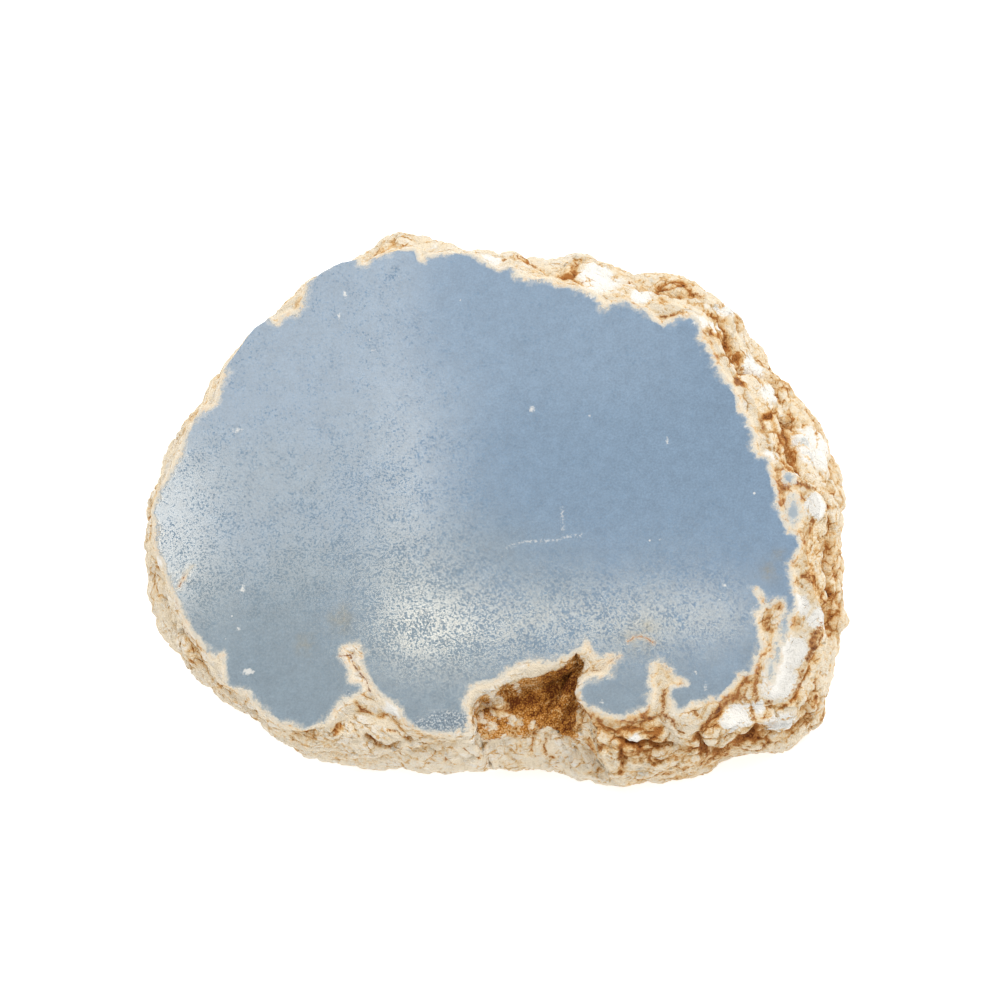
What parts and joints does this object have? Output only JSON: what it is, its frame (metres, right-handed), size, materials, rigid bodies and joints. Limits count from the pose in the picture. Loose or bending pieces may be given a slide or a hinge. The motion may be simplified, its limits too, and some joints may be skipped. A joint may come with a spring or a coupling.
{
  "type": "angelite slice",
  "caption": "Slab of blue-grey angelite with one flat polished face, a sawn back, a rough lumpy rind round its side and a small open hollow in its edge.",
  "frame": {"origin": "on the sawn back, below the middle of the slab's box", "axes": "+Z out of the polished face, +X along the slab's length, +Y away from the side with the hollow"},
  "size_m": [0.1356, 0.1112, 0.024],
  "materials": {
    "stone": "polished face, rough natural rind and sawn back"
  },
  "bodies": {
    "root": {"angelite_slice": "stone"}
  },
  "joints": []
}
